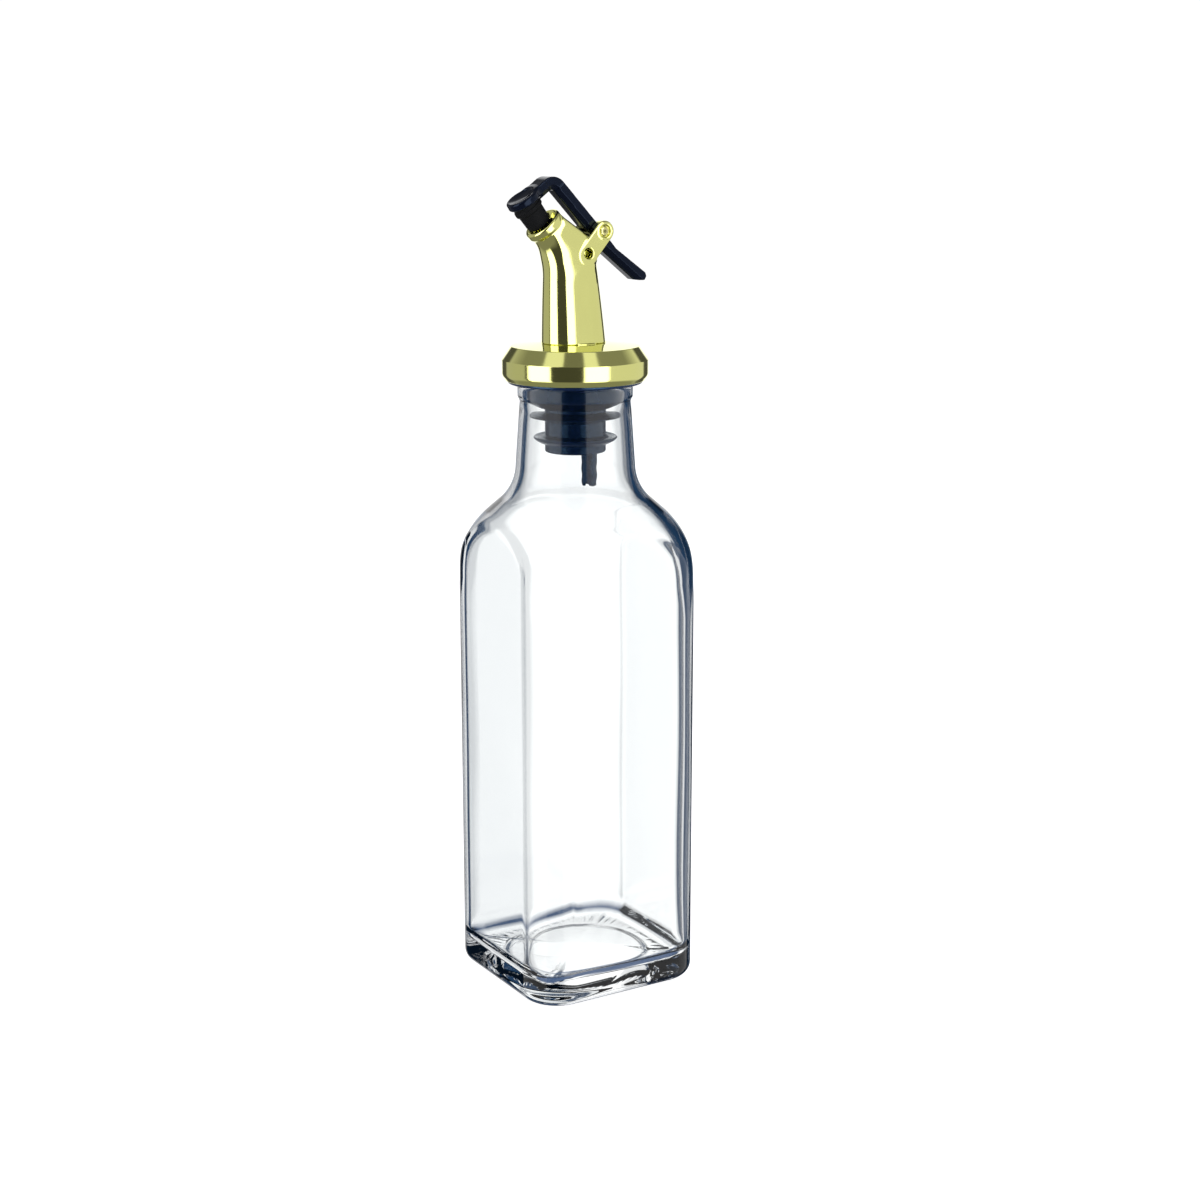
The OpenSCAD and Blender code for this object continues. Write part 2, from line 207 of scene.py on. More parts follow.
def skin(name, rings, loop=False):
    """Closed surface over a grid of rings: neighbours along and round the grid share a face. The first and
    last rings are joined to each other where the path is a loop, and closed by a fan about their middle
    otherwise."""
    count, sides = rings.shape[:2]
    points = rings.reshape(-1, 3)
    rows = np.arange(count if loop else count - 1)[:, None]
    around = np.arange(sides)
    after = np.roll(around, -1)
    here, there = rows * sides, (rows + 1) % count * sides
    quads = np.stack((here + around, there + around, there + after, here + after), -1).reshape(-1, 4)
    if loop:
        return make_object(name, points, quads)
    end = (count - 1) * sides
    first = np.stack((np.full(sides, count * sides), around, after), -1)
    last = np.stack((np.full(sides, count * sides + 1), end + after, end + around), -1)
    poles = np.stack((rings[0].mean(0), rings[-1].mean(0)))
    return make_object(name, np.concatenate((points, poles)), quads, np.concatenate((first, last)))


def round_corners(corners, radii, loop=False, count=7, hold=0.05):
    """Straight path whose corners become arcs. Each arc touches both runs at radius times the tangent of half
    the turn, and is the rational curve over the corner whose weight is the cosine of half the turn. A point a
    little way along each run keeps the runs flat under smooth shading."""
    p = np.array(corners, float)
    back, ahead = np.roll(p, 1, 0) - p, np.roll(p, -1, 0) - p
    back_length = np.linalg.norm(back, axis=1)
    ahead_length = np.linalg.norm(ahead, axis=1)
    back, ahead = back / back_length[:, None], ahead / ahead_length[:, None]
    half = 0.5 * np.arccos(np.clip(-(back * ahead).sum(1), -1, 1))
    room = 0.45 * np.minimum(back_length, ahead_length)
    touch = np.minimum(np.broadcast_to(radii, len(p)) * np.tan(half), room)[:, None, None]
    t = np.linspace(0, 1, count)[None, :, None]
    weight = np.cos(half)[:, None, None]
    start, end = p[:, None] + back[:, None] * touch, p[:, None] + ahead[:, None] * touch
    pulls = (1 - t) ** 2, 2 * weight * t * (1 - t), t ** 2
    curve = (pulls[0] * start + pulls[1] * p[:, None] + pulls[2] * end) / sum(pulls)
    curve = np.concatenate((start + back[:, None] * hold, curve, end + ahead[:, None] * hold), axis=1)
    if loop:
        return curve.reshape(-1, 2)
    return np.concatenate((p[:1], curve[1:-1].reshape(-1, 2), p[-1:]))


def turned(profile, sides):
    """Rings of a turned shape: each (radius, height) of the profile goes round +Z."""
    a = np.linspace(0, 2 * np.pi, sides, endpoint=False)
    r, z = profile[:, :1], profile[:, 1:]
    return np.stack((r * np.cos(a), r * np.sin(a), np.broadcast_to(z, (len(profile), sides))), -1)


def aimed(points, at, tilt):
    """Points turned about Y so that +Z leans to the given angle above -X, then moved to a place in X and
    Z."""
    s, c = np.sin(tilt - np.pi / 2), np.cos(tilt - np.pi / 2)
    x, y, z = np.moveaxis(points, -1, 0)
    return np.stack((at[0] + x * c + z * s, y, at[1] - x * s + z * c), -1)


def swept(path, radius, sides):
    """Rings of a round wire: a circle in the plane square to the path at each of its points."""
    along = np.gradient(path, axis=0)
    along /= np.linalg.norm(along, axis=1)[:, None]
    u = np.cross(along, (0.0, 1.0, 0.0))
    u /= np.linalg.norm(u, axis=1)[:, None]
    v = np.cross(along, u)
    a = np.linspace(0, 2 * np.pi, sides, endpoint=False)[None, :, None]
    return path[:, None] + radius * (np.cos(a) * u[:, None] + np.sin(a) * v[:, None])


def cut(made, tool):
    """Takes the tool's volume out of a piece and deletes the tool."""
    modifier = made.modifiers.new("cut", "BOOLEAN")
    modifier.object, modifier.operation, modifier.solver = tool, "DIFFERENCE", "EXACT"
    graph = bpy.context.evaluated_depsgraph_get()
    mesh = bpy.data.meshes.new_from_object(made.evaluated_get(graph))
    made.modifiers.remove(modifier)
    made.data = mesh
    bpy.data.objects.remove(tool)
    mesh.set_sharp_from_angle(angle=np.radians(40))


# ---------------------------------------------------------------- shapes given by a distance

def smooth_min(a, b, k):
    """The smaller of two distances, eased over a width k so that two shapes flow together."""
    h = np.clip(0.5 + 0.5 * (b - a) / k, 0, 1)
    return b + (a - b) * h - k * h * (1 - h)


def smooth_max(a, b, k):
    """The larger of two distances, eased over a width k so that a cut has a soft edge."""
    return -smooth_min(-a, -b, k)


def overlap_of(a, b, r):
    """Distance to what two shapes share, with an arc of radius r along the edge where they meet."""
    a, b = a + r, b + r
    return np.minimum(np.maximum(a, b), 0) + np.hypot(np.maximum(a, 0), np.maximum(b, 0)) - r


def outline_distance(x, z, outline):
    """Signed distance to a closed outline: the nearest of its edges gives the size, and the number of edges
    that a ray to the right crosses gives the sign, negative inside."""
    x, z = x[..., None], z[..., None]
    a = np.array(outline, float)
    b = np.roll(a, -1, 0)
    e = b - a
    wx, wz = x - a[:, 0], z - a[:, 1]
    t = np.clip((wx * e[:, 0] + wz * e[:, 1]) / (e ** 2).sum(1), 0, 1)
    size = np.hypot(wx - e[:, 0] * t, wz - e[:, 1] * t).min(-1)
    straddles = (a[:, 1] > z) != (b[:, 1] > z)
    level = np.where(e[:, 1] == 0, 1.0, e[:, 1])
    crosses = straddles & (wx < e[:, 0] * wz / level)
    return np.where(crosses.sum(-1) % 2 == 1, -size, size)


def rod_distance(x, z, a, b, radius):
    """Distance to a bar with round ends that runs from point a to point b of the X-Z plane."""
    dx, dz = b[0] - a[0], b[1] - a[1]
    t = np.clip(((x - a[0]) * dx + (z - a[1]) * dz) / (dx * dx + dz * dz), 0, 1)
    return np.hypot(x - a[0] - dx * t, z - a[1] - dz * t) - radius


def slope_of(field, points, reach=0.012):
    """Gradient of a distance by central differences."""
    moves = np.eye(3) * reach
    sides = [field(*(points + m).T) - field(*(points - m).T) for m in moves]
    return np.stack(sides, -1) / (2 * reach)


def implicit_skin(name, field, low, high, step):
    """Surface where a distance is nought. Each cell of a grid that the surface crosses gets one point, the
    mean of the crossings on its twelve edges, and each crossed grid edge gets one face over its four cells.
    The points are then moved along the slope until the distance there is nought, and the slope gives the
    normals."""
    axes = [np.arange(a, b + step, step) for a, b in zip(low, high)]
    values = field(*np.meshgrid(*axes, indexing="ij", sparse=True))
    inside = values < 0
    cells = np.array(values.shape) - 1
    total = np.zeros((*cells, 3))
    hits = np.zeros(cells)
    edges = []
    for axis in range(3):
        near = tuple(slice(0, -1) if i == axis else slice(None) for i in range(3))
        far = tuple(slice(1, None) if i == axis else slice(None) for i in range(3))
        crossed = inside[near] != inside[far]
        where = np.argwhere(crossed)
        f0, f1 = values[near][crossed], values[far][crossed]
        spot = where.astype(float)
        spot[:, axis] += f0 / (f0 - f1)
        u, v = (axis + 1) % 3, (axis + 2) % 3
        corners = []
        for du, dv in ((0, 0), (-1, 0), (-1, -1), (0, -1)):
            cell = where.copy()
            cell[:, u] += du
            cell[:, v] += dv
            np.add.at(total, tuple(cell.T), spot)
            np.add.at(hits, tuple(cell.T), 1)
            corners.append(cell)
        edges.append((corners, inside[near][crossed]))
    index = np.full(cells, -1)
    used = hits > 0
    index[used] = np.arange(used.sum())
    points = total[used] / hits[used][:, None] * step + np.array([a[0] for a in axes])
    quads = []
    for corners, solid in edges:
        quad = np.stack([index[tuple(c.T)] for c in corners], -1)
        quads.append(np.where(solid[:, None], quad, quad[:, ::-1]))
    for _ in range(4):
        slope = slope_of(field, points)
        steepness = np.maximum((slope ** 2).sum(1), 0.25)
        shift = np.clip(field(*points.T) / steepness, -step / 2, step / 2)
        points -= shift[:, None] * slope
    normals = slope_of(field, points)
    normals /= np.maximum(np.linalg.norm(normals, axis=1), 1e-6)[:, None]
    return make_object(name, points, np.concatenate(quads), normals=normals)


# ---------------------------------------------------------------- materials

def new_material(name, **sockets):
    """A material with one principled shader, whose even values are set on its own sockets."""
    material = bpy.data.materials.new(name)
    material.use_nodes = True
    shader = material.node_tree.nodes["Principled BSDF"]
    for socket, value in sockets.items():
        shader.inputs[socket.replace("_", " ")].default_value = value
    return material, material.node_tree, shader


def add_node(tree, kind, links=None, **inputs):
    """A node with its inputs set, and links from other nodes' outputs."""
    node = tree.nodes.new(kind)
    for socket, value in inputs.items():
        node.inputs[socket.replace("_", " ")].default_value = value
    for socket, output in (links or {}).items():
        tree.links.new(output, node.inputs[socket])
    return node


def noise(tree, scale, detail=2.0, stretch=(1, 1, 1)):
    """Noise over the piece's own place in the frame, stretched along the axes."""
    place = add_node(tree, "ShaderNodeTexCoord")
    mapping = add_node(tree, "ShaderNodeMapping", {"Vector": place.outputs["Object"]}, Scale=stretch)
    stretched = {"Vector": mapping.outputs["Vector"]}
    return add_node(tree, "ShaderNodeTexNoise", stretched, Scale=scale, Detail=detail)


def spread(tree, value, low, high):
    """A value from nought to one laid out from low to high."""
    return add_node(tree, "ShaderNodeMapRange", {"Value": value}, To_Min=low, To_Max=high).outputs["Result"]


def portion(tree, value, start, end):
    """How far a value has come on its way from start to end, from nought to one."""
    laid_out = add_node(tree, "ShaderNodeMapRange", {"Value": value}, From_Min=start, From_Max=end)
    return laid_out.outputs["Result"]


def mixed(tree, factor, first, second):
    """Goes from the first colour to the second as the factor goes from nought to one. Each is a plain colour
    or another node's output."""
    mix = tree.nodes.new("ShaderNodeMix")
    mix.data_type = "RGBA"
    tree.links.new(factor, mix.inputs["Factor"])
    for socket, shade in (("A", first), ("B", second)):
        if isinstance(shade, bpy.types.NodeSocket):
            tree.links.new(shade, mix.inputs[socket])
        else:
            mix.inputs[socket].default_value = (*shade, 1)
    return mix.outputs["Result"]


def add_bump(tree, shader, height, strength, distance):
    """Relief from a height, in metres."""
    bump = add_node(tree, "ShaderNodeBump", {"Height": height}, Strength=strength, Distance=distance)
    tree.links.new(bump.outputs["Normal"], shader.inputs["Normal"])


def tint_between(tree, shader, factor, dark, light):
    """Base colour that drifts between two shades."""
    tree.links.new(mixed(tree, factor, dark, light), shader.inputs["Base Color"])


def shades(tint, depth):
    """A darker and a lighter shade about a colour."""
    return tuple(c * (1 - depth) for c in tint), tuple(min(1.0, c * (1 + depth)) for c in tint)


# Painted shade: the near-black navy that the glass's colour turns to where it is seen edge on, standing in for
# its dark edges.
EDGE_PAINTED_SHADE = (0.003, 0.012, 0.035)
EDGE_FACING = (0.57, 0.80)


def glass_material(tint):
    """Clear pressed glass. Its colour darkens to blue where it is seen edge on, between the two facing shares
    above:
    painted shade for its dark edges. Its walls hold the mould's slow waves."""
    material, tree, shader = new_material("pressed_glass", Roughness=0.0, IOR=1.5, Transmission_Weight=1.0)
    facing = add_node(tree, "ShaderNodeLayerWeight", Blend=0.5)
    # Painted shade: the base colour goes from the glass tint to the dark edge colour as the surface is seen
    # more edge on.
    tint_between(tree, shader, portion(tree, facing.outputs["Facing"], *EDGE_FACING), tint, EDGE_PAINTED_SHADE)
    waves = noise(tree, 60.0, 0.0, (1, 1, 0.25))
    add_bump(tree, shader, waves.outputs["Fac"], 0.12, 0.0005)
    return material


def gold_material(name, tint):
    """Bright gold plating over smooth moulding: a mirror with a faint orange peel and finger haze."""
    material, tree, shader = new_material(name, Metallic=1.0)
    haze = noise(tree, 240.0, 4.0)
    tree.links.new(spread(tree, haze.outputs["Fac"], 0.06, 0.13), shader.inputs["Roughness"])
    drift = noise(tree, 60.0, 2.0)
    tint_between(tree, shader, drift.outputs["Fac"], *shades(tint, 0.03))
    peel = noise(tree, 420.0, 1.0)
    add_bump(tree, shader, peel.outputs["Fac"], 0.05, 0.0001)
    return material


def soft_plastic_material(tint, gloss):
    """Soft blue-black plastic with the fine level lines of a turned mould."""
    material, tree, shader = new_material("soft_blue_black", Specular_IOR_Level=0.8, IOR=1.5,
                                          Specular_Tint=(1 - gloss, 1 - gloss * 0.55, 1, 1))
    lines = noise(tree, 900.0, 3.0, (0.02, 0.02, 4))
    tree.links.new(spread(tree, lines.outputs["Fac"], 0.16, 0.30), shader.inputs["Roughness"])
    drift = noise(tree, 150.0, 3.0)
    tint_between(tree, shader, drift.outputs["Fac"], *shades(tint, 0.35))
    add_bump(tree, shader, lines.outputs["Fac"], 0.25, 0.00008)
    return material


def gloss_plastic_material(tint):
    """Glossy blue-black moulding with a little flow in its gloss."""
    material, tree, shader = new_material("gloss_blue_black", Specular_IOR_Level=0.24, Coat_Weight=0.02,
                                          Coat_Roughness=0.06, Specular_Tint=(0.45, 0.62, 1, 1))
    flow = noise(tree, 180.0, 3.0)
    tree.links.new(spread(tree, flow.outputs["Fac"], 0.08, 0.18), shader.inputs["Roughness"])
    tint_between(tree, shader, flow.outputs["Fac"], *shades(tint, 0.3))
    add_bump(tree, shader, noise(tree, 500.0, 2.0).outputs["Fac"], 0.06, 0.0001)
    return material


def rubber_material():
    """Matt soft rubber with a fine grain."""
    material, tree, shader = new_material("matt_rubber", Specular_IOR_Level=0.1)
    grain = noise(tree, 2600.0, 3.0)
    tree.links.new(spread(tree, grain.outputs["Fac"], 0.5, 0.75), shader.inputs["Roughness"])
    tint_between(tree, shader, grain.outputs["Fac"], (0.0025, 0.0028, 0.0035), (0.0065, 0.0068, 0.008))
    add_bump(tree, shader, grain.outputs["Fac"], 0.3, 0.00006)
    return material


def wire_material():
    """Drawn spring wire, streaked along its length."""
    material, tree, shader = new_material("drawn_wire", Metallic=1.0)
    streaks = noise(tree, 3000.0, 3.0)
    tree.links.new(spread(tree, streaks.outputs["Fac"], 0.18, 0.38), shader.inputs["Roughness"])
    tint_between(tree, shader, streaks.outputs["Fac"], (0.42, 0.43, 0.45), (0.62, 0.63, 0.65))
    add_bump(tree, shader, streaks.outputs["Fac"], 0.1, 0.00002)
    return material


def floor_material():
    """Pale matt floor with a barely seen grain. It gives off some light of its own, so it stays pale."""
    material, tree, shader = new_material("pale_floor", Roughness=0.9, Specular_IOR_Level=0.0,
                                          Emission_Strength=0.8, Emission_Color=(1, 1, 1, 1))
    grain = noise(tree, 300.0, 2.0)
    tint_between(tree, shader, grain.outputs["Fac"], (0.90, 0.90, 0.90), (0.92, 0.92, 0.92))
    return material


def finish_piece(made, material, slot, body, *nodes):
    """Gives a piece its material and the body it moves with, and hides the CAD nodes it stands
    for. The slot is not used."""
    made.data.materials.clear()
    made.data.materials.append(material)
    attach(made, body)
    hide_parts(*nodes)


def plating(tint):
    """The plating shared by the collar and the spout, made once."""
    return bpy.data.materials.get("bright_gold") or gold_material("bright_gold", tint)


def stopper_plastic(settings):
    """The soft plastic shared by the stopper and the air tube, made once."""
    return bpy.data.materials.get("soft_blue_black") or soft_plastic_material(settings.tint, settings.gloss)


# ---------------------------------------------------------------- the glass bottle

# Stands for no limit, in millimetres, where a smaller distance is chosen.
FAR_OFF = 99.0


def square_directions(count):
    """Skeleton and normals of a square with round corners. Half of the points lie on the four corners. The
    skeleton runs from -1 to 1 along each side and stays at the corner's centre round each corner."""
    quarter = count // 4
    on_corner = quarter // 2
    straight = np.linspace(-1, 1, quarter - on_corner, endpoint=False)
    bend = np.linspace(0, np.pi / 2, on_corner, endpoint=False)
    side = np.stack((np.ones_like(straight), straight), -1)
    skeleton = np.concatenate((side, np.ones((on_corner, 2))))
    arc = np.stack((np.cos(bend), np.sin(bend)), -1)
    normal = np.concatenate((np.tile((1.0, 0.0), (len(straight), 1)), arc))
    turns = [np.array(((c, -s), (s, c))) for c, s in ((1, 0), (0, 1), (-1, 0), (0, -1))]
    return (np.concatenate([skeleton @ t.T for t in turns]), np.concatenate([normal @ t.T for t in turns]))


def touch_angle(c1, r1, c2, r2):
    """Angle of the line that touches a dome's circle on one side and a hollow curve's circle on the other."""
    d = np.subtract(c2, c1)
    return np.arctan2(d[1], d[0]) - np.arccos((r1 + r2) / np.hypot(*d))


def shoulder_curve(dome_centre, dome_radius, curve_radius, neck_radius, neck_height, lean):
    """Dome, straight run and hollow curve up to the foot of the neck, as (radius, height). Both arcs touch
    the straight run, and the upper one touches the neck's lean."""
    centre = np.array((neck_radius + curve_radius * np.cos(lean), neck_height + curve_radius * np.sin(lean)))
    t = touch_angle(dome_centre, dome_radius, centre, curve_radius)
    up = np.linspace(0, t, 34)
    hollow = np.linspace(t + np.pi, lean + np.pi, 26)
    dome = np.stack((dome_centre[0] + dome_radius * np.cos(up), dome_centre[1] + dome_radius * np.sin(up)), -1)
    curve = np.stack((centre[0] + curve_radius * np.cos(hollow), centre[1] + curve_radius * np.sin(hollow)), -1)
    run = dome[-1] + (curve[0] - dome[-1]) * np.linspace(0, 1, 8)[1:-1, None]
    return np.concatenate((dome, run, curve))


def square_rings(width, corner, stations, softness, count):
    """Rings of a square column cut by a turned shape. Each station is (inset, limit, height): the square is
    drawn in by the inset, and its distance from the axis is eased down to the limit where that is
    smaller."""
    skeleton, normal = square_directions(count)
    inset, limit, height = stations.T[..., None]
    to_corner = width / 2 - corner
    x = skeleton[:, 0] * to_corner + normal[:, 0] * (corner - inset)
    y = skeleton[:, 1] * to_corner + normal[:, 1] * (corner - inset)
    far = np.hypot(x, y)
    scale = smooth_min(far, np.broadcast_to(limit, far.shape), softness) / far
    return np.stack((x * scale, y * scale, np.broadcast_to(height, far.shape)), -1)


def bend_stations(radius, base, count):
    """Stations of a quarter-round lower edge: the inset falls from the radius to nought as the height
    rises."""
    a = np.linspace(0, np.pi / 2, count)
    return np.stack((radius * (1 - np.sin(a)), np.full(count, FAR_OFF), base + radius * (1 - np.cos(a))), -1)


def turned_stations(curve):
    """Stations of a stretch where the turned shape alone gives the radius."""
    return np.stack((np.zeros(len(curve)), curve[:, 0], curve[:, 1]), -1)


def free_stations(heights, reach, dome_z):
    """Stations of a stretch where the square shows. The limit lies a little outside the corner's reach, and
    rises away from it as the height falls from the dome, so that the dome eases in."""
    return np.stack((np.zeros(len(heights)), reach + 0.05 + 0.15 * (dome_z - heights), heights), -1)


def with_height(outline, heights):
    """Rings that give each flat outline its height."""
    return np.concatenate((outline, np.broadcast_to(heights, (*outline.shape[:2], 1))), -1)


BEARING_RADIUS = 19.5
MARK_HEIGHT = 0.24
MARK_BAND = (0, 0, 0.4, 1, 1, 0.5, 0)
HOLLOW = ((0.6, 1), (5, 1), (10, 1), (14, 1), (17, 0.98), (18, 0.92), (18.5, 0.72), (19.1, 0.22))


def underside_rings(edge, marks):
    """Rings of the underside: a shallow hollow given as (radius, height), then the flat ring that the bottle
    stands on, which runs out to the given edge. Short bars stand on a band of that ring where the cosine of
    the number of marks times the bearing is above nought."""
    direction = edge / np.linalg.norm(edge, axis=1)[:, None]
    hollow = np.array(HOLLOW)
    under = with_height(hollow[:, :1, None] * direction[None], hollow[:, 1:, None])
    steps = np.linspace(0, 1, 1 + len(MARK_BAND))[:-1, None, None]
    inner_edge = BEARING_RADIUS * direction
    bars = np.clip(np.cos(marks * np.arctan2(direction[:, 1], direction[:, 0])), 0, 1) ** 0.7
    bar_heights = MARK_HEIGHT * bars * np.array(MARK_BAND)[:, None]
    bearing = with_height(inner_edge + (edge - inner_edge) * steps, bar_heights[..., None])
    return np.concatenate((under, bearing))


def bowl_rings(edge, floor, count=14):
    """Rings of the inner floor: the edge drawn in to the middle, rising by 0.9 times the square of one less
    the square of the share of the way out."""
    part = np.linspace(1, 0.02, count)[1:, None, None]
    return with_height(edge * part, floor + 0.9 * (1 - part ** 2) ** 2)


def made_uneven(rings, floor):
    """The inside as pressing leaves it: a few slow waves round and up the walls, and ripples near the
    floor."""
    a = np.linspace(0, 2 * np.pi, rings.shape[1], endpoint=False)
    height = rings[..., 2]
    sway = np.sin(3 * a + 0.7) * 0.5 + np.sin(5 * a + height * 0.09) * 0.3 + np.sin(2 * a - 1.1) * 0.4
    fade = np.clip((height - 2) / 10, 0, 1) * np.clip((118 - height) / 30, 0, 1)
    squeeze = 1 - 0.006 * sway * fade - 0.010 * np.exp(-((height - floor - 4) / 4) ** 2) * np.sin(4 * a + 0.4)
    rings = rings * np.stack((squeeze, squeeze, np.ones_like(squeeze)), -1)
    thick = np.exp(-((height - floor) / 3) ** 2) * (0.35 * np.sin(4 * a + 0.9) + 0.25 * np.sin(7 * a))
    away = np.linalg.norm(rings[..., :2], axis=-1) / 24
    rings[..., 2] += thick * np.clip(away, 0, 1) ** 3
    return rings


def glass_rings(g, count=256):
    """The whole wall of the bottle as one path of rings: underside, heel, body, shoulder, neck, lip, and back
    down the inside to the inner floor."""
    width, corner, heel, wall, lip = (v / MM for v in (g.width, g.corner, g.heel, g.wall, g.height))
    neck, neck_z, dome, dome_z = (v / MM for v in (g.neck, g.neck_height, g.dome, g.dome_height))
    mouth, floor, soft = g.mouth / MM, g.floor / MM, g.arch_softness / MM
    upper_neck, upper_z = neck - 1.3, lip - 4.6
    bead = upper_neck + 0.55
    lean = np.arctan2(neck - upper_neck, upper_z - neck_z)
    reach = (width / 2 - corner) * np.sqrt(2) + corner
    centre = (reach + 0.05 - dome, dome_z)
    near_dome = np.linspace(dome_z - 14, dome_z, 16)[:-1]

    lip_curve = round_corners(
        [(upper_neck, upper_z), (bead, upper_z + 1.1), (bead, lip), (mouth + 0.15, lip), (mouth, lip - 1.2)],
        (0, 0.55, 1.15, 0.7, 0), count=8)
    neck_run = np.linspace((neck, neck_z), (upper_neck, upper_z), 10)[1:-1]
    body_heights = np.concatenate(([heel + 0.3], np.linspace(8, dome_z - 16, 10), near_dome))
    outer_curve = np.concatenate((shoulder_curve(centre, dome, 13.0, neck, neck_z, lean), neck_run, lip_curve))
    outside = np.concatenate((
        bend_stations(heel, 0.0, 14), free_stations(body_heights, reach, dome_z), turned_stations(outer_curve)))
    inner_curve = shoulder_curve(centre, dome - wall, 15.0, neck - 2.2, neck_z, lean)
    throat = np.linspace((mouth, lip - 2), (mouth, lip - 9), 6)
    into_neck = np.linspace((mouth, lip - 9), inner_curve[-1], 8)[1:-1]
    body_heights = np.concatenate((near_dome[::-1], np.linspace(dome_z - 16, 14, 10), [floor + 5.3]))
    inside = np.concatenate((
        turned_stations(np.concatenate((throat, into_neck, inner_curve[::-1]))),
        free_stations(body_heights, reach - wall, dome_z), bend_stations(5.0, floor, 14)[::-1]))
    outer = square_rings(width, corner, outside, soft, count)
    inner = square_rings(width - 2 * wall, corner - wall, inside, soft * 1.5, count)
    inner = made_uneven(np.concatenate((inner, bowl_rings(inner[-1, :, :2], floor))), floor)
    return np.concatenate((underside_rings(outer[0, :, :2], g.marks), outer, inner))


class OIL_OT_glass(bpy.types.Operator):
    """Add the square glass bottle"""
    bl_idname = "oil.glass"
    bl_label = "Glass Bottle"

    def execute(self, context):
        g = context.scene.oil_glass
        finish_piece(skin("glass_body", glass_rings(g)), glass_material(g.tint), "clear_glass", "bottle",
                     "glass_bottle")
        return {"FINISHED"}


# ---------------------------------------------------------------- stopper and air tube

# Places in X and Y of the oil's passage and of the air's, and their radii, in millimetres.
FLOW_AT = (-2.8, 0.0)
STOPPER_FLOW = 3.4
SPOUT_FLOW = 3.1
AIR_PIPE_AT = (2.2, -1.8)
AIR_SOCKET_AT = (3.9, -0.9)
AIR_BORE = 1.4
# Place of the vent hole in X and Z.
VENT_AT = (1.1, 204.0)

def fin_corners(core, tip, z, drop, rise):
    """Corners of a fin: it leaves the core, thins to its tip and comes back a little higher."""
    return [(core, z - drop), (core + 0.9, z - drop + 0.3), (tip, z - 0.2), (tip, z), (core + 0.9, z + rise),
            (core, z + rise + 0.3)]


def stopper_profile(s):
    """Turned outline of the stopper, from the middle of its end to the middle of the spout's pocket."""
    core, root, flange = s.core / MM, s.root / MM, s.flange / MM
    low, high, lip = STOPPER_LOW.z / MM, STOPPER_HIGH.z / MM, GLASS_HIGH.z / MM
    upper = fin_corners(core, s.upper_fin / MM, lip - 8.8, 1.45, 0.75)
    cup = s.lower_fin / MM
    lower = [(core, lip - 16.3), (core + 1.2, lip - 16.2), (cup - 0.6, lip - 15.4), (cup, lip - 14.7),
             (cup - 0.25, lip - 14.4), (cup - 1.3, lip - 14.8), (core + 0.9, lip - 14.6), (core, lip - 13.9)]
    corners = [(0, low), (core, low), *lower, *upper, (core, lip - 6.5), (core + 0.9, lip - 6.2),
               (root, lip - 3.8), (root, lip + 0.1), (flange, lip + 0.1), (flange, lip + 2.4),
               (10.5, lip + 2.4), (10.5, high), (7, high), (7, lip + 3), (0, lip + 3)]
    radii = [0, 0.5, *[0.35, 0.5, 0.5, 0.12, 0.12, 0.4, 0.4, 0.35], *[0.3, 0.5, 0.08, 0.08, 0.5, 0.3], 0.3, 0.5,
             0.8, 0.2, 0.5, 0.4, 0.2, 0.2, 0.2, 0.2, 0]
    return round_corners(corners, radii, count=6)


def rod(name, at, radius, low, high, sides=64):
    """Plain round bar along +Z, used as a cutting tool."""
    profile = np.array(((radius, low), (radius, high)))
    return skin(name, turned(profile, sides) + np.array((*at, 0.0)))


class OIL_OT_stopper(bpy.types.Operator):
    """Add the finned stopper that fills the mouth of the glass"""
    bl_idname = "oil.stopper"
    bl_label = "Stopper"

    def execute(self, context):
        s = context.scene.oil_stopper
        made = skin("stopper_moulding", turned(stopper_profile(s), 160))
        middle = (TUBE_LOW + TUBE_HIGH) / 2 / MM
        low = STOPPER_LOW.z / MM
        tube_radius = (TUBE_HIGH.x - TUBE_LOW.x) / 2 / MM
        cut(made, rod("flow_tool", FLOW_AT, STOPPER_FLOW, low - 2, low + 24))
        cut(made, rod("tube_tool", (middle.x, middle.y), tube_radius, low - 2, low + 24))
        finish_piece(made, stopper_plastic(s), "stopper_black", "pourer", "stopper")
        return {"FINISHED"}


def tube_rings(radius, bore, low, high, sides=96):
    """Hollow tube as a loop of rings. Its lower end is cut ragged: the height there rises in two notches,
    and the wall swells a little below the stopper."""
    a = np.linspace(0, 2 * np.pi, sides, endpoint=False)
    notch = np.clip(np.cos(2 * a - 1.2) * 3 - 1.9, 0, 1) * 1.1 + 0.12 * np.sin(5 * a) + 0.12
    t = np.concatenate((np.linspace(0, 0.25, 26), np.linspace(0.3, 1, 12)))[:, None]
    z = (low + notch) + (high - low - notch) * t
    swell = radius - 0.16 * np.exp(-((z - low) / 1.4) ** 2) - 0.09 * (1 + np.sin((z - low) * 1.7 + a)) \
        * np.clip((low + 9 - z) / 3, 0, 1)
    outer = np.stack((swell * np.cos(a), swell * np.sin(a), z), -1)
    r = np.full_like(z, bore)
    inner = np.stack((r * np.cos(a), r * np.sin(a), z), -1)[::-1]
    return np.concatenate((outer, inner))


class OIL_OT_air_tube(bpy.types.Operator):
    """Add the air tube that hangs under the stopper"""
    bl_idname = "oil.air_tube"
    bl_label = "Air Tube"

    def execute(self, context):
        radius = (TUBE_HIGH.x - TUBE_LOW.x) / 2 / MM
        middle = (TUBE_LOW + TUBE_HIGH) / 2 / MM
        rings = tube_rings(radius, AIR_BORE, TUBE_LOW.z / MM, TUBE_HIGH.z / MM)
        rings += np.array((middle.x, middle.y, 0))
        made = skin("air_tube_moulding", rings, loop=True)
        finish_piece(made, stopper_plastic(context.scene.oil_stopper), "stopper_black", "pourer", "air_tube")
        return {"FINISHED"}


# ---------------------------------------------------------------- collar and spout

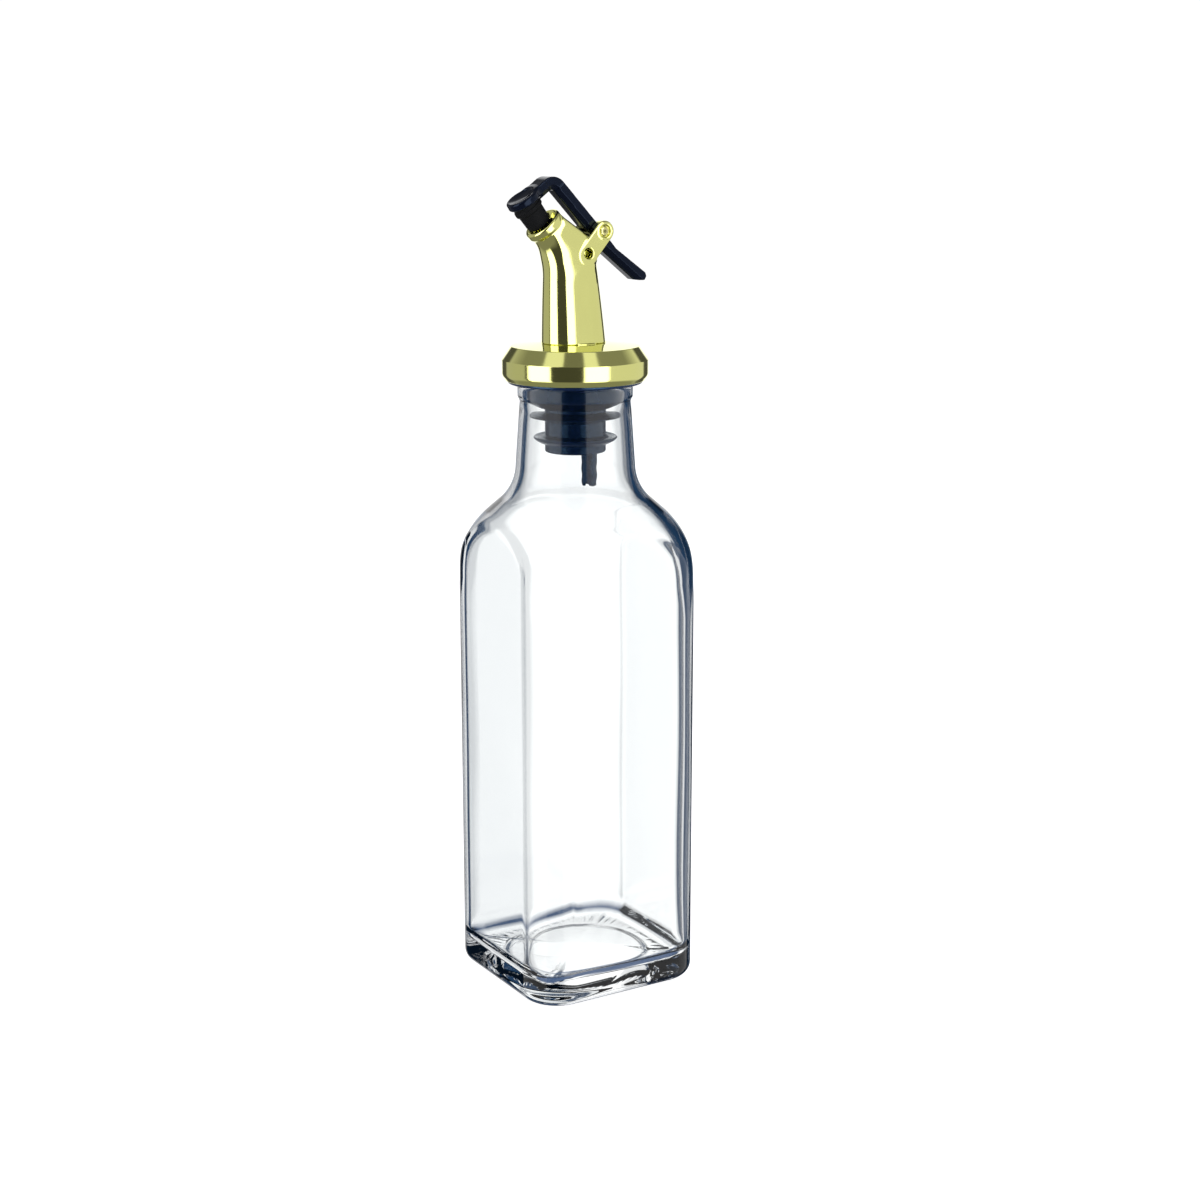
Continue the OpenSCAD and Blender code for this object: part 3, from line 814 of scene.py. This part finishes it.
def collar_profile(c):
    """Turned outline of the hollow collar: foot, wall, bevel, crowned top and the hollow over the flange."""
    radius, rim, wall_top, rim_z = (v / MM for v in (c.radius, c.rim, c.wall_top, c.rim_height))
    low, high = COLLAR_LOW.z / MM, COLLAR_HIGH.z / MM
    boss, flange = STOPPER_HIGH.z / MM, STOPPER_HIGH.x / MM
    corners = [(flange + 0.15, low), (radius - 0.9, low), (radius, low + 1.5), (radius, wall_top), (rim, rim_z),
               (9.6, high), (7, high), (7, boss), (16.6, boss), (flange + 0.05, boss - 2.2)]
    radii = [0.15, 0.5, 2.2, 0.45, 0.4, 0.3, 0.1, 0.1, 0.8, 0.8]
    return round_corners(corners, radii, loop=True, count=9, hold=0.04)


class OIL_OT_collar(bpy.types.Operator):
    """Add the bevelled collar that hides the flange"""
    bl_idname = "oil.collar"
    bl_label = "Collar"

    def execute(self, context):
        c = context.scene.oil_collar
        made = skin("collar_shell", turned(collar_profile(c), 192), loop=True)
        finish_piece(made, plating(c.tint), "gold_plating", "pourer", "collar")
        return {"FINISHED"}


MOUTH = (-10.2, 212.2)
COLUMN_TOP = (-1.6, 201.5)
COLUMN_FOOT_X = -0.45
WEB = [(-6.6, 214.4), (2.9, 208), (4.3, 206.5), (4.3, 202), (-6, 202), (-9.5, 209)]
FORK_ROOM = [(2.6, 210.6), (3.6, 209.4), (4.35, 204.6), (5.2, 202.6), (5.5, 201), (14, 201), (14, 216),
             (2.6, 216)]
PIVOT = (HINGE[0] / MM, HINGE[2] / MM)
# Radii of the hinge pin and of the holes for it in the spout's ears and in the lever.
PIN = 0.75
EAR_HOLE = 0.78
LEVER_HOLE = 0.8
SPRING_WIRE = 0.22
EAR_FOOT = (PIVOT[0] - 8.2 * np.cos(np.radians(49.5)), PIVOT[1] - 8.2 * np.sin(np.radians(49.5)))


def spout_field(s):
    """Distance to the spout. An oval column and a leaning mouth tube flow into each other, a web fills the
    angle behind them, two ears stand on it, and the passages, the vent, the fork and the hinge recesses are
    taken out."""
    foot_r, top_r, rim, tube, bore, vent, fork = (
        v / MM for v in (s.foot, s.top, s.rim, s.tube, s.bore, s.vent, s.fork))
    foot_z, ear_out = COLLAR_HIGH.z / MM, min(SPOUT_HIGH.y / MM, fork + 2.55)
    lean = (-np.cos(s.mouth_tilt), np.sin(s.mouth_tilt))

    def field(x, y, z):
        t = np.clip((z - foot_z) / (COLUMN_TOP[1] - foot_z), 0, 1)
        middle = COLUMN_FOOT_X + (COLUMN_TOP[0] - COLUMN_FOOT_X) * t
        half = 2.4 - 0.55 * t
        r = foot_r + (top_r - foot_r) * (t - 0.35 * t * (1 - t))
        beyond = np.maximum(np.abs(x - middle) - half, 0)
        column = np.sqrt(beyond ** 2 + y ** 2 + np.maximum(z - COLUMN_TOP[1], 0) ** 2) - r
        along = (x - MOUTH[0]) * lean[0] + (z - MOUTH[1]) * lean[1]
        across = np.hypot((x - MOUTH[0]) * lean[1] - (z - MOUTH[1]) * lean[0], y)
        barrel = overlap_of(across - tube, np.abs(along + 7.5) - 7.5, 0.3)
        body = smooth_min(column, barrel, 4.5)
        web = overlap_of(outline_distance(x, z, WEB), np.abs(y) - 5.25, 2.0)
        body = smooth_min(body, web, 1.2)
        body = smooth_max(body, np.abs(y) - r - 0.1, 0.9)
        lip = overlap_of(across - rim, np.abs(along + 1.05) - 1.05, 0.5)
        body = smooth_min(body, lip, 0.7)
        ear = overlap_of(rod_distance(x, z, PIVOT, EAR_FOOT, 2.8), np.abs(y) - ear_out, 0.45)
        body = smooth_min(body, ear, 0.5)
        body = smooth_max(body, foot_z - z, 0.25)
        spigot = overlap_of(np.hypot(x, y) - 6.95, np.abs(z - foot_z + 3.8) - 4.05, 0.15)
        body = np.minimum(body, spigot)
        room = overlap_of(outline_distance(x, z, FORK_ROOM), np.abs(y) - fork, 0.1)
        body = smooth_max(body, -room, 0.35)
        channel = np.maximum(np.hypot(x - FLOW_AT[0], y) - SPOUT_FLOW, np.abs(z - 186) - 16)
        flare = bore + np.clip(along + 1.6, 0, 1.7) * 0.55
        throat = np.maximum(across - flare, -15 - along)
        body = smooth_max(body, -np.minimum(channel, throat), 0.35)
        pipe = np.maximum(np.hypot(x - AIR_PIPE_AT[0], y - AIR_PIPE_AT[1]) - AIR_BORE, np.abs(z - 192) - 12.6)
        socket = np.maximum(np.hypot(x - AIR_SOCKET_AT[0], y - AIR_SOCKET_AT[1]) - 2.2, np.abs(z - 178) - 7.5)
        flared = vent + 0.25 * np.clip(-4.9 - y, 0, 1)
        port = np.maximum(np.hypot(x - VENT_AT[0], z - VENT_AT[1]) - flared, y - AIR_PIPE_AT[1])
        body = smooth_max(body, -np.minimum(np.minimum(pipe, socket), port), 0.3)
        reach = np.hypot(x - PIVOT[0], z - PIVOT[1])
        body = smooth_max(body, -(reach - EAR_HOLE), 0.1)
        recess = np.maximum(reach - 1.6, ear_out - 0.5 - np.abs(y))
        body = smooth_max(body, -recess, 0.2)
        ring = overlap_of(np.abs(reach - 2.05) - 0.3, np.abs(y) - ear_out - 0.1, 0.2)
        return smooth_min(body, np.maximum(ring, fork + 1 - np.abs(y)), 0.15)

    return field


def grid_box(low, high, margin=0.8):
    """Corners, in millimetres, of a CAD node's box with a margin all round."""
    return np.array(low) / MM - margin, np.array(high) / MM + margin


class OIL_OT_spout(bpy.types.Operator):
    """Add the bent spout with its fork"""
    bl_idname = "oil.spout"
    bl_label = "Spout"

    def execute(self, context):
        s = context.scene.oil_spout
        made = implicit_skin("spout_moulding", spout_field(s), *grid_box(SPOUT_LOW, SPOUT_HIGH), s.step / MM)
        finish_piece(made, plating(context.scene.oil_collar.tint), "gold_plating", "pourer", "spout")
        return {"FINISHED"}


def along_y(rings, at):
    """Rings turned so that +Z becomes +Y, then moved to a place in the X-Z plane."""
    x, y, z = np.moveaxis(rings, -1, 0)
    return np.stack((x + at[0], z, at[1] - y), -1)


class OIL_OT_pivot_pin(bpy.types.Operator):
    """Add the hinge pin with its two low domed heads"""
    bl_idname = "oil.pivot_pin"
    bl_label = "Pivot Pin"

    def execute(self, context):
        low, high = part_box("pivot_pin")
        half, head = high.y / MM, (high.x - low.x) / 2 / MM
        corners = [(0, -half), (head * 0.7, -half), (head, -half + 0.2), (head, -half + 0.4),
                   (PIN, -half + 0.4), (PIN, half - 0.4), (head, half - 0.4), (head, half - 0.2),
                   (head * 0.7, half), (0, half)]
        profile = round_corners(corners, [0, 0.5, 0.3, 0.05, 0.05, 0.05, 0.05, 0.3, 0.5, 0], count=5, hold=0.02)
        made = skin("hinge_pin", along_y(turned(profile, 64), PIVOT))
        finish_piece(made, gold_material("pin_gold", (0.74, 0.70, 0.30)), "pin_metal", "pourer", "pivot_pin")
        return {"FINISHED"}


def spring_path(coil_r=1.27, turns=3, pitch=0.52, arm_aim=134, web_aim=225, arm_leg=2.6, web_leg=3.35):
    """Centre line of the spring: a straight leg, a helix about the pin and a second straight leg. Each leg
    leaves the coil along its tangent."""
    first = arm_aim + 90
    wound = 360 * turns + web_aim - 90 - first
    a = np.radians(first + wound * np.linspace(0, 1, 160))
    width = pitch * wound / 360
    y = np.linspace(-width / 2, width / 2, 160)
    coil = np.stack((PIVOT[0] + coil_r * np.cos(a), y, PIVOT[1] + coil_r * np.sin(a)), -1)
    arm = np.array((np.cos(np.radians(arm_aim)), 0, np.sin(np.radians(arm_aim))))
    web = np.array((np.cos(np.radians(web_aim)), 0, np.sin(np.radians(web_aim))))
    return np.concatenate((coil[:1] + np.linspace(arm_leg, 0.3, 8)[:, None] * arm, coil,
                           coil[-1:] + np.linspace(0.3, web_leg, 8)[:, None] * web))


class OIL_OT_return_spring(bpy.types.Operator):
    """Add the wire spring round the hinge pin"""
    bl_idname = "oil.return_spring"
    bl_label = "Return Spring"

    def execute(self, context):
        made = skin("spring_wire", swept(spring_path(), SPRING_WIRE, 16))
        finish_piece(made, wire_material(), "spring_steel", "pourer", "return_spring")
        return {"FINISHED"}


# ---------------------------------------------------------------- lever and plug

ELBOW = (-8.0, 219.8)
DISC_FOOT = (-15.2, 217.3)
TAIL = [(4.55, 208.4), (7.5, 204.5), (17.7, 196.3), (19.3, 196.1), (20.6, 196.1), (21.15, 197.0),
        (20.85, 197.95), (11.5, 204.7), (9.6, 206.9), (6.5, 210.5)]


def bar_frame(aim, side):
    """Unit vectors along a bar that leaves the elbow at the given angle, and square to it on its outer side,
    which is to the left of the bar where the side is 1 and to its right where it is -1."""
    a = np.radians(aim)
    along = np.array((np.cos(a), np.sin(a)))
    return along, np.array((-along[1], along[0])) * side


def lever_field(s):
    """Distance to the lever: a flat bar bent round an elbow, with a hub and a thumb tail. Its sides lean
    inwards along the lower edge, and a dished disc flows into the end of the neck."""
    half_t, half_w = s.thickness / MM / 2, s.width / MM / 2
    disc_r, disc_t = s.disc / MM, s.disc_thickness / MM
    outer = LEVER_HIGH.z / MM - ELBOW[1]
    centre_r = outer - half_t
    arm_along, arm_up = bar_frame(-46.8, 1)
    neck_along, neck_up = bar_frame(217.0, -1)
    lean = (-np.cos(s.disc_tilt), np.sin(s.disc_tilt))

    def bar(px, pz, along, up, reach):
        off = px * up[0] + pz * up[1]
        way = px * along[0] + pz * along[1]
        return off, way, overlap_of(np.abs(off - centre_r) - half_t, np.abs(way - reach / 2) - reach / 2, 0.02)

    def field(x, y, z):
        px, pz = x - ELBOW[0], z - ELBOW[1]
        arm_off, arm_way, arm = bar(px, pz, arm_along, arm_up, 16.5)
        neck_off, neck_way, neck = bar(px, pz, neck_along, neck_up, 5.5)
        radius = np.hypot(px, pz)
        bend = np.where((arm_way <= 0) & (neck_way <= 0), np.abs(radius - centre_r) - half_t, FAR_OFF)
        strap = np.minimum(np.minimum(arm, neck), bend)
        tail = outline_distance(x, z, TAIL) - 0.15
        hub = np.hypot(x - PIVOT[0], z - PIVOT[1]) - 2.4
        side = smooth_min(strap, smooth_min(tail, hub, 0.3), 0.5)
        tail_up = np.minimum((x - 7.5) * 0.6265 + (z - 204.5) * 0.7793, (x - 7.5) * 0.797 + (z - 204.5) * 0.603)
        strap_up = np.where(arm_way > 0, arm_off, np.where(neck_way > 0, neck_off, radius)) - outer + 2 * half_t
        blend = np.clip((arm_way - 14) / 4, 0, 1)
        up = strap_up * (1 - blend) + tail_up * blend
        width = half_w - 0.62 * np.maximum(0, 1.45 - up)
        body = overlap_of(side, np.abs(y) - width, 0.32)
        along = (x - DISC_FOOT[0]) * lean[0] + (z - DISC_FOOT[1]) * lean[1]
        across = np.hypot((x - DISC_FOOT[0]) * lean[1] - (z - DISC_FOOT[1]) * lean[0], y)
        disc = overlap_of(across - disc_r, np.abs(along - disc_t / 2) - disc_t / 2, 0.6)
        body = smooth_min(body, disc, 1.1)
        bowl = np.hypot(across, along - disc_t - 9.2) - 9.9
        dish = smooth_max(bowl, across - disc_r + 1.0, 0.4)
        body = smooth_max(body, -dish, 0.35)
        reach = np.hypot(x - PIVOT[0], z - PIVOT[1])
        slot = np.abs(y) - 1.2
        heading = np.arctan2(z - PIVOT[1], x - PIVOT[0]) % (2 * np.pi)
        legs = np.maximum(reach - 4.0, reach * (np.abs(heading - np.radians(196.5)) - np.radians(51.5)))
        body = smooth_max(body, -np.maximum(np.minimum(reach - 1.77, legs), slot), 0.1)
        return smooth_max(body, -(reach - LEVER_HOLE), 0.1)

    return field


class OIL_OT_lever(bpy.types.Operator):
    """Add the thumb lever with its cap disc"""
    bl_idname = "oil.lever"
    bl_label = "Lever"

    def execute(self, context):
        s = context.scene.oil_lever
        made = implicit_skin("lever_moulding", lever_field(s), *grid_box(LEVER_LOW, LEVER_HIGH), s.step / MM)
        finish_piece(made, gloss_plastic_material(s.tint), "lever_black", "lever_arm", "lever")
        return {"FINISHED"}


class OIL_OT_mouth_plug(bpy.types.Operator):
    """Add the soft plug under the cap disc"""
    bl_idname = "oil.mouth_plug"
    bl_label = "Mouth Plug"

    def execute(self, context):
        s = context.scene.oil_lever
        end = -s.plug_length / MM
        corners = [(0, end + 0.15), (2.2, end), (3.15, end), (3.4, end + 1.2), (3.55, -2.3), (4.0, -2.0),
                   (4.0, -1.0), (3.75, -0.7), (3.75, 0.55), (0, 0.55)]
        profile = round_corners(corners, [0, 0.8, 0.45, 0.8, 0.3, 0.3, 0.35, 0.3, 0.25, 0], count=6)
        made = skin("plug_moulding", aimed(turned(profile, 96), DISC_FOOT, s.plug_tilt))
        finish_piece(made, rubber_material(), "plug_rubber", "lever_arm", "mouth_plug")
        return {"FINISHED"}


# ---------------------------------------------------------------- stage

# Bands of brightness round the horizon, as (start, end, level) in degrees counter-clockwise from +X.
ROUND_BANDS = [(-180, -160, 3.0), (-160, -106, 0.06), (-106, -66, 3.0), (-66, 14, 0.72), (14, 38, 0.08),
               (38, 80, 1.3), (80, 104, 0.08), (104, 155, 0.46), (155, 161, 0.06), (161, 180, 3.0)]
UPPER_BANDS = [(-180, -150, 0.9), (-150, -98, 0.18), (-98, -66, 0.9), (-66, 168, 0.24), (168, 180, 0.9)]
THROUGH_BANDS = [(-180, -150, 0.75), (-150, -98, 0.0), (-98, -6, 0.75), (-6, 6, 0.8), (6, 42, 0.0),
                 (42, 50, 0.8), (50, 67, 1.2), (67, 88, 0.85), (88, 94, 0.7), (94, 124, 0.0),
                 (124, 180, 0.75)]
NAVY = (0.016, 0.045, 0.10)
BRIGHTEST = 4.0
# A ramp holds no level above one, so its levels are stored as shares of the brightest. So are these two.
UNDER_GLOSS = (0.06, 0.06, 0.06)
UNDER_GLASS = (0.02, 0.032, 0.06)
# Rise of a ray, as the Z of its direction, over which one part of the surroundings gives way to the next.
TO_CEILING = (0.42, 0.62)
TO_UNDER_GLOSS = (-0.42, -0.62)
TO_UNDER_GLASS = (-0.60, -0.85)
BACKDROP = 1.05


def band_ramp(tree, value, bands, dark=(0.0, 0.0, 0.0), edge=0.006):
    """A colour ramp that holds each band's share of the brightest level and eases over a narrow edge between
    two bands. A level of nought shows the dark colour."""
    def colour_of(level):
        return (*((level + max(0.0, 1 - level) * d) / BRIGHTEST for d in dark), 1)

    ramp = tree.nodes.new("ShaderNodeValToRGB")
    tree.links.new(value, ramp.inputs["Fac"])
    elements = ramp.color_ramp.elements
    elements[0].position, elements[1].position = 0.0, 1.0
    elements[0].color, elements[1].color = colour_of(bands[0][2]), colour_of(bands[-1][2])
    for (_, end, level), (_, _, following) in zip(bands, bands[1:]):
        place = (end + 180) / 360
        elements.new(place - edge).color = colour_of(level)
        elements.new(place + edge).color = colour_of(following)
    return ramp.outputs["Color"]


def studio_world():
    """Surroundings of the studio, which differ by what a ray is for. Gloss and soft light see two tall soft
    panels with a dark gap between them, grey walls, a pale wall behind the bottle between dark flags, and a
    dim ceiling. The glass sees pale walls with three navy cards. What the camera sees straight is plain
    white."""
    world = bpy.data.worlds.new("studio")
    world.use_nodes = True
    tree = world.node_tree
    tree.nodes.clear()
    place = add_node(tree, "ShaderNodeTexCoord")
    axes = add_node(tree, "ShaderNodeSeparateXYZ", {"Vector": place.outputs["Generated"]})
    rise = axes.outputs["Z"]
    heading = tree.nodes.new("ShaderNodeMath")
    heading.operation = "ARCTAN2"
    tree.links.new(axes.outputs["Y"], heading.inputs[0])
    tree.links.new(axes.outputs["X"], heading.inputs[1])
    about = portion(tree, heading.outputs[0], -np.pi, np.pi)
    walls, ceiling = (band_ramp(tree, about, bands) for bands in (ROUND_BANDS, UPPER_BANDS))
    room = mixed(tree, portion(tree, rise, *TO_CEILING), walls, ceiling)
    room = mixed(tree, portion(tree, rise, *TO_UNDER_GLOSS), room, UNDER_GLOSS)
    through = band_ramp(tree, about, THROUGH_BANDS, NAVY)
    through = mixed(tree, portion(tree, rise, *TO_UNDER_GLASS), through, UNDER_GLASS)
    shown = add_node(tree, "ShaderNodeBackground", {"Color": room}, Strength=BRIGHTEST)
    glassy = add_node(tree, "ShaderNodeBackground", {"Color": through}, Strength=BRIGHTEST)
    plain = add_node(tree, "ShaderNodeBackground", Color=(1, 1, 1, 1), Strength=BACKDROP)
    path = tree.nodes.new("ShaderNodeLightPath")
    for ray, other in (("Is Transmission Ray", glassy), ("Is Singular Ray", glassy), ("Is Camera Ray", plain)):
        choose = tree.nodes.new("ShaderNodeMixShader")
        tree.links.new(path.outputs[ray], choose.inputs["Fac"])
        tree.links.new(shown.outputs[0], choose.inputs[1])
        tree.links.new(other.outputs["Background"], choose.inputs[2])
        shown = choose
    add_node(tree, "ShaderNodeOutputWorld", {"Surface": shown.outputs["Shader"]})
    return world


class OIL_OT_stage(bpy.types.Operator):
    """Add the floor, the studio's light and the camera"""
    bl_idname = "oil.stage"
    bl_label = "Stage"

    def execute(self, context):
        s = context.scene.oil_stage
        scene = context.scene
        scene.world = studio_world()
        scene.view_settings.view_transform = "Standard"
        edge = s.floor / MM
        profile = np.array(((edge * 0.02, 0.0), (edge, 0.0), (edge, -0.2), (edge * 0.02, -0.2)))
        floor = skin("floor", turned(profile, 96) - np.array((0, 0, 0.05)))
        floor.visible_glossy = floor.visible_transmission = False
        floor.data.materials.append(floor_material())
        lamp = bpy.data.lights.new("overhead", "AREA")
        lamp.size, lamp.energy = 1.8, s.lamp
        light = bpy.data.objects.new("overhead", lamp)
        light.location = (0, 0, 1.7)
        light.visible_glossy = light.visible_transmission = light.visible_camera = False
        scene.collection.objects.link(light)
        camera = bpy.data.cameras.new("camera")
        camera.lens, camera.sensor_width = s.lens, 36.0
        camera.clip_start, camera.clip_end = 0.01, 20.0
        view = bpy.data.objects.new("camera", camera)
        view.location = (np.sin(s.turn) * s.distance + np.cos(s.turn) * s.aside,
                         np.sin(s.turn) * s.aside - np.cos(s.turn) * s.distance, s.height)
        view.rotation_euler = (np.pi / 2 - s.dip, 0, s.turn)
        scene.collection.objects.link(view)
        scene.camera = view
        return {"FINISHED"}


# ---------------------------------------------------------------- panel and registering

STEPS = (OIL_OT_stage, OIL_OT_glass, OIL_OT_stopper, OIL_OT_air_tube, OIL_OT_collar, OIL_OT_spout,
         OIL_OT_pivot_pin, OIL_OT_return_spring, OIL_OT_lever, OIL_OT_mouth_plug)


class OIL_PT_panel(bpy.types.Panel):
    """Lists the pieces of the bottle"""
    bl_label = "Oil Bottle"
    bl_space_type = "VIEW_3D"
    bl_region_type = "UI"
    bl_category = "Oil Bottle"

    def draw(self, context):
        for step in STEPS:
            self.layout.operator(step.bl_idname)


CLASSES = (*GROUPS.values(), *STEPS, OIL_PT_panel)


def register():
    """Makes the settings, the operators and the panel known."""
    for cls in CLASSES:
        bpy.utils.register_class(cls)
    for name, group in GROUPS.items():
        setattr(bpy.types.Scene, name, PointerProperty(type=group))


def unregister():
    """Takes them away again."""
    for name in GROUPS:
        delattr(bpy.types.Scene, name)
    for cls in reversed(CLASSES):
        bpy.utils.unregister_class(cls)


def main():
    """Builds every piece in order."""
    register()
    for step in STEPS:
        family, name = step.bl_idname.split(".")
        if getattr(getattr(bpy.ops, family), name)() != {"FINISHED"}:
            raise RuntimeError(f"{step.bl_label} was not built")


if __name__ == "__main__":
    main()
